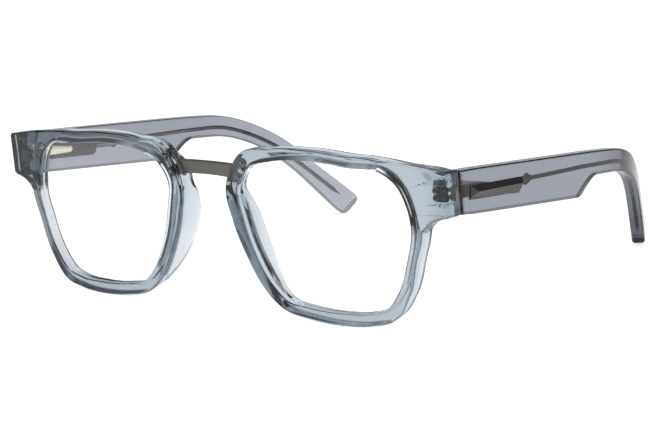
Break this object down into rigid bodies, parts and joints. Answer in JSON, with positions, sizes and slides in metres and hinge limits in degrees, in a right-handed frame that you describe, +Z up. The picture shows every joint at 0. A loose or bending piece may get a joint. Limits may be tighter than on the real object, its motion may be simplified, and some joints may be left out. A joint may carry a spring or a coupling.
{
  "type": "square eyeglasses",
  "caption": "Clear grey acetate eyeglasses with square rims joined by a flat metal bridge, wired temples with side plaques, and five-barrel screw hinges.",
  "frame": {"origin": "centre of the bounding box's underside, on the surface that the rims and the temple tips stand on", "axes": "+X towards the wearer's left, +Y backwards along the temples to the ears, +Z up; the front faces -Y and the part stands on its rims and tips, so the temples' hinge axes lean 6.1 degrees from +Z"},
  "size_m": [0.1472, 0.1408, 0.0462],
  "materials": {
    "acetate_front": "polished clear blue-grey acetate",
    "acetate_temple": "polished clear grey acetate",
    "lens": "clear plastic with an anti-reflection coat",
    "bridge_metal": "satin gunmetal plating",
    "plaque_metal": "satin gunmetal plating",
    "hinge_metal": "bright nickel silver",
    "screw_metal": "bright steel",
    "wire_metal": "drawn nickel silver inside the acetate"
  },
  "bodies": {
    "front": {"rim_left": "acetate_front", "rim_right": "acetate_front", "lens_left": "lens", "lens_right": "lens", "nose_pad_left": "acetate_front", "nose_pad_right": "acetate_front", "bridge_bar": "bridge_metal", "bridge_plate_left": "bridge_metal", "bridge_plate_right": "bridge_metal", "bridge_screws_left": "screw_metal", "bridge_screws_right": "screw_metal", "hinge_front_left": "hinge_metal", "hinge_front_right": "hinge_metal", "hinge_screw_left": "screw_metal", "hinge_screw_right": "screw_metal"},
    "left_arm": {"temple_left": "acetate_temple", "hinge_temple_left": "hinge_metal", "core_wire_left": "wire_metal", "plaque_left": "plaque_metal"},
    "right_arm": {"temple_right": "acetate_temple", "hinge_temple_right": "hinge_metal", "core_wire_right": "wire_metal", "plaque_right": "plaque_metal"}
  },
  "joints": [
    {"name": "temple_fold_left", "type": "hinge", "parent": "front", "child": "left_arm", "pos_m": [0.0663, -0.05576, 0.03623], "axis": [0, -0.1059, 0.9944], "range_deg": [0, 86]},
    {"name": "temple_fold_right", "type": "hinge", "parent": "front", "child": "right_arm", "pos_m": [-0.0663, -0.05576, 0.03623], "axis": [0, 0.1059, -0.9944], "range_deg": [0, 75]}
  ]
}
